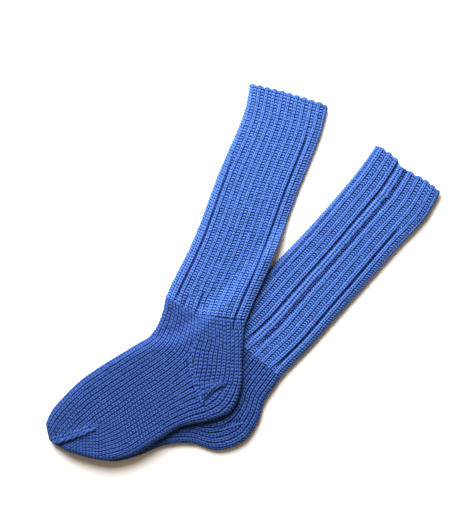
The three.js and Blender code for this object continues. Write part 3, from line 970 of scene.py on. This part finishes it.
def yarn_material(name, colours):
    """Matt wool: darker stretches here and there, fine pale fibres, and their bump."""
    tone_colour, pale, dark = ((*colour, 1) for colour in colours)
    material = bpy.data.materials.new(name)
    material.use_nodes = True
    nodes, links = material.node_tree.nodes, material.node_tree.links
    shader = set_inputs(nodes["Principled BSDF"], WOOL)
    place = nodes.new("ShaderNodeTexCoord")
    stretches = set_inputs(nodes.new("ShaderNodeTexNoise"), STRETCHES)
    fibres = set_inputs(nodes.new("ShaderNodeTexNoise"), FIBRES)
    share = set_inputs(nodes.new("ShaderNodeMapRange"), FIBRE_SHARE)
    bump = set_inputs(nodes.new("ShaderNodeBump"), FIBRE_BUMP)
    tone = nodes.new("ShaderNodeMix")
    tone.data_type = "RGBA"
    set_inputs(tone, {"A": dark, "B": tone_colour})
    fleck = nodes.new("ShaderNodeMix")
    fleck.data_type = "RGBA"
    set_inputs(fleck, {"B": pale})
    links.new(place.outputs["Object"], stretches.inputs["Vector"])
    links.new(place.outputs["Object"], fibres.inputs["Vector"])
    links.new(stretches.outputs["Fac"], tone.inputs["Factor"])
    links.new(fibres.outputs["Fac"], share.inputs["Value"])
    links.new(share.outputs["Result"], fleck.inputs["Factor"])
    links.new(tone.outputs["Result"], fleck.inputs["A"])
    links.new(fleck.outputs["Result"], shader.inputs["Base Color"])
    links.new(fibres.outputs["Fac"], bump.inputs["Height"])
    links.new(bump.outputs["Normal"], shader.inputs["Normal"])
    return material


rib_yarn = yarn_material("blue_yarn_rib", RIB_COLOURS)
foot_yarn = yarn_material("blue_yarn_plain", FOOT_COLOURS)
# The shell's dark material is painted shade for the gaps between the stitches
gap_shade_yarn = yarn_material("blue_yarn_gap_shade", GAP_SHADE_COLOURS)


# Shells of cloth

SHELL_DEEP = 2.0  # how far under the sock's outer form the shell lies
RIB_FILL = 0.65  # the cloth fills the ribbing higher up
RIB_FADE_BEFORE = 0.2  # the shell's ribs fade from this part of a row before their end
RIB_FADE_AFTER = 0.4
CUFF_ROWS = 0.5  # part of a row over which the cuff's reach fades
SHELL_PAST = 0.6  # how far the shell's first ring stands past the cuff
SHELL_SHORT = 0.04  # the shell's last row stands this part of a row before the toe's end
SHELL_THICK = 1.1
SHELL_ROUND = 6.0  # how far round under the outermost edge the upper face goes on
UNDER_DEEP = 1.2  # how far over the floor its underside lies
LEAST_INSIDE = 0.4  # least height of the slit inside
SLIT_SHORT = 6  # rings from the end of the slit to the toe
TOP_POINTS = 88  # steps of a ring over the upper face
UNDER_POINTS = 16  # and points of it under the sock
SHELL_ROWS = 110


def shell_ring(sock, leg, row):
    """The outer and the inner ring of a sock's tube of cloth at one row."""
    share = np.linspace(0, 1, TOP_POINTS + 1)
    at = np.full(TOP_POINTS + 1, row)
    left, side, wide, high = section(sock, at)
    more, total = top_length(wide, high)
    arc = (total + 2 * SHELL_ROUND) * share - SHELL_ROUND
    flat = left + side * (arc - more)[:, None]
    fade = 1 - smooth(row, leg["shell_end"] - RIB_FADE_BEFORE, leg["shell_end"] + RIB_FADE_AFTER)
    deep = SHELL_DEEP + (rib_depth(line_of_share(sock, at, arc / total)) - RIB_FILL) * fade
    reach = cuff_reach(sock, share) * np.clip(1 - row / CUFF_ROWS, 0, 1)
    flat = flat + leg["cuffward"] * (reach + (SHELL_PAST if row == 0 else 0))[:, None]
    top = lay(sock, flat, deep)
    top_in = lay(sock, flat, deep + SHELL_THICK)
    floor_in = lift(sock, top_in[:, :2]) + UNDER_DEEP + SHELL_THICK + LEAST_INSIDE
    flat_part = np.minimum(arc, total - arc) >= TOP_ROUND
    top_in[:, 2] = np.where(flat_part, np.maximum(top_in[:, 2], floor_in), top_in[:, 2])
    top[:, 2] = np.where(flat_part, np.maximum(top[:, 2], floor_in + SHELL_THICK / 2), top[:, 2])
    back = np.linspace(1, 0, UNDER_POINTS + 2)[1:-1, None]
    places = top[0, :2] + (top[-1, :2] - top[0, :2]) * back
    outer = np.vstack([top, lay_under(sock, places, UNDER_DEEP)])
    inner = np.vstack([top_in, lay_under(sock, places, UNDER_DEEP + SHELL_THICK)])
    return outer, inner


def shell(sock, leg):
    """A sock as one closed shell: the tube of cloth, open at the cuff, with a slit inside it."""
    rows = np.linspace(0, len(sock["high"]) - 1, SHELL_ROWS)
    rows[-1] -= SHELL_SHORT
    outer, inner = zip(*[shell_ring(sock, leg, row) for row in rows])
    inner = inner[:-SLIT_SHORT]
    around = len(outer[0])
    step = np.arange(around)
    next_step = (step + 1) % around

    def band(first):
        """Quads from the ring that starts at this point to the next ring."""
        second = first + around
        return np.stack([first + step, second + step, second + next_step, first + next_step], 1)

    start = len(outer) * around
    outer_tip = start + len(inner) * around
    inner_tip = outer_tip + 1
    last_outer = start - around
    last_inner = outer_tip - around
    mouth = np.stack([step, start + step, start + next_step, next_step], 1)
    quads = np.vstack([
        *[band(first) for first in range(0, last_outer, around)],
        *[band(first)[:, ::-1] for first in range(start, last_inner, around)],
        mouth[:, ::-1],
    ])
    caps = np.vstack([
        np.stack([last_outer + step, np.full(around, outer_tip), last_outer + next_step], 1),
        np.stack([last_inner + next_step, np.full(around, inner_tip), last_inner + step], 1),
    ])
    points = np.vstack([*outer, *inner, outer[-1].mean(0), inner[-1].mean(0)])
    triangles = np.vstack([quads[:, [0, 1, 2]], quads[:, [0, 2, 3]], caps])
    # The shell wears the dark colours that stand for painted shade, seen in the gaps between the stitches
    # over it
    return mesh_object(f"{sock['name']}_cloth", points, triangles, gap_shade_yarn)


# The two socks

PAST_OUTLINE = -2  # first wale of a patch that goes on round the edge
HIDDEN_FROM = 9  # wale of the lower foot from which the upper sock hides it
INSTEP_ROW = 3.5  # heights of a row of stitches
HEEL_ROW = 3.75
SOLE_ROW = 3.45
LOWER_FOOT_ROW = 3.7
TOE_RIDGE_ROW = 3.9
HEEL_RIDGE_ROW = 3.6
GUSSET_ROW = 4.0
RIDGE_WIDE = 5.6  # widths of a stitch
GUSSET_WIDE = 4.6


def leg_knit(leg):
    """The ribbing of a leg's upper face, with the strands at its cuff."""
    parts = [rib_stitches(leg, "top", RIB_KNIT, RIB_PURL), cuff_edge(leg)]
    return mesh_object(f"{leg['sock']['name']}_leg_knit", *joined(parts), rib_yarn)


def underside_knit(leg, patches):
    """The plainer knitting of a sock's underside."""
    parts = [rib_stitches(leg, "under", RIB_KNIT_PLAIN, RIB_PURL_PLAIN)]
    parts += [plain_knit(patch, KNIT_PLAIN, under=True) for patch in patches]
    name = f"{leg['sock']['name']}_underside_knit"
    return mesh_object(name, *clear_of_edge(leg["sock"], parts), foot_yarn)


upper_leg = make_leg(upper, UPPER_LEG)
lower_leg = make_leg(lower, LOWER_LEG)
upper_shell = shell(upper, upper_leg)
lower_shell = shell(lower, lower_leg)
upper_rib = leg_knit(upper_leg)
lower_rib = leg_knit(lower_leg)

# Upper foot and heel
instep = make_patch(upper, INSTEP, anchor="left", even="middle", row=INSTEP_ROW, more=2)
flap = make_patch(upper, HEEL_FLAP, anchor="right", even="middle", row=HEEL_ROW)
back = make_patch(upper, HEEL_BACK, anchor="left", even="right", row=HEEL_ROW, same=False)
sole = make_patch(upper, SOLE, anchor="left", even="middle", row=SOLE_ROW)
toe_sole = make_patch(upper, TOE_SOLE, anchor="right", even="right", row=SOLE_ROW, same=False)
upper_foot = mesh_object("upper_foot_knit", *joined([
    plain_knit(instep, KNIT, first=PAST_OUTLINE),
    plain_knit(sole, KNIT),
    plain_knit(toe_sole, KNIT, first=PAST_OUTLINE),
    chain(upper, TOE_RIDGE, RIDGE, wide=RIDGE_WIDE, row=TOE_RIDGE_ROW, rise=1.0),
    chain(upper, TOE_ROPE, ROPE, wide=ROPE_WIDE, row=ROPE_ROW, rise=0.9),
]), foot_yarn)
upper_heel = mesh_object("upper_heel_knit", *joined([
    plain_knit(flap, KNIT),
    plain_knit(back, KNIT),
    chain(upper, HEEL_RIDGE, RIDGE, wide=RIDGE_WIDE, row=HEEL_RIDGE_ROW, rise=0.8),
    chain(upper, GUSSET_LINE, KNIT, wide=GUSSET_WIDE, row=GUSSET_ROW, rise=0.9),
]), foot_yarn)
upper_back = underside_knit(upper_leg, [instep, sole, toe_sole, flap, back])

# Lower foot
lower_plain = make_patch(lower, LOWER_FOOT, anchor="right", even="right", row=LOWER_FOOT_ROW, same=False)
lower_foot = mesh_object("lower_foot_knit", *joined([
    plain_knit(lower_plain, KNIT, first=PAST_OUTLINE, last=HIDDEN_FROM),
    plain_knit(lower_plain, KNIT_PLAIN, first=HIDDEN_FROM),
    chain(lower, LOWER_HEEL_RIDGE, RIDGE, wide=RIDGE_WIDE, row=HEEL_RIDGE_ROW, rise=0.8),
]), foot_yarn)
lower_back = underside_knit(lower_leg, [lower_plain])

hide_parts("upper_sock")
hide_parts("lower_sock")


# Floor, light and camera, in metres

FLOOR_HALF = 6.0
FLOOR_LEVEL = -0.0004
FLOOR_PAPER = {"Base Color": (0.84, 0.83, 0.81, 1), "Roughness": 0.9}
ROOM_LIGHT = {"Color": (1.0, 0.76, 0.5, 1), "Strength": 0.3}
LAMP_AT = (-0.36, 0.68, 0.6)
LAMP_AIM = (0, 0, 0)
LAMP_SIZE = 1.0
LAMP_POWER = 45
LAMP_COLOUR = (0.95, 0.98, 1.0)
CAMERA_FAR = 2.2
LOOK_LEVEL = 0.008  # height over the floor that the camera's frame is measured at
SENSOR = 36  # the camera's sensor along the frame's longer side, in millimetres as its lens is

floor_mesh = bpy.data.meshes.new("floor")
corners = [(FLOOR_HALF * x, FLOOR_HALF * y, FLOOR_LEVEL) for x, y in ((-1, -1), (1, -1), (1, 1), (-1, 1))]
floor_mesh.from_pydata(corners, [], [(0, 1, 2, 3)])
floor = bpy.data.objects.new("floor", floor_mesh)
bpy.context.collection.objects.link(floor)
paper = bpy.data.materials.new("pale_floor")
paper.use_nodes = True
set_inputs(paper.node_tree.nodes["Principled BSDF"], FLOOR_PAPER)
floor_mesh.materials.append(paper)

world = bpy.data.worlds.new("studio")
world.use_nodes = True
set_inputs(world.node_tree.nodes["Background"], ROOM_LIGHT)
bpy.context.scene.world = world

lamp_data = bpy.data.lights.new("window", "AREA")
lamp_data.shape = "DISK"
lamp_data.size = LAMP_SIZE
lamp_data.energy = LAMP_POWER
lamp_data.color = LAMP_COLOUR
lamp = bpy.data.objects.new("window", lamp_data)
lamp.location = LAMP_AT
lamp.rotation_euler = (Vector(LAMP_AIM) - Vector(LAMP_AT)).to_track_quat("-Z", "Y").to_euler()
bpy.context.collection.objects.link(lamp)

camera_data = bpy.data.cameras.new("camera")
camera_data.lens = SENSOR * CAMERA_FAR / (PHOTO_TALL * PIXEL * MM)
camera = bpy.data.objects.new("camera", camera_data)
look = pixel_place(CAMERA_PIXEL) * MM
camera.location = (look[0], look[1], LOOK_LEVEL + CAMERA_FAR)
bpy.context.collection.objects.link(camera)
bpy.context.scene.camera = camera
bpy.context.scene.view_settings.view_transform = "Standard"
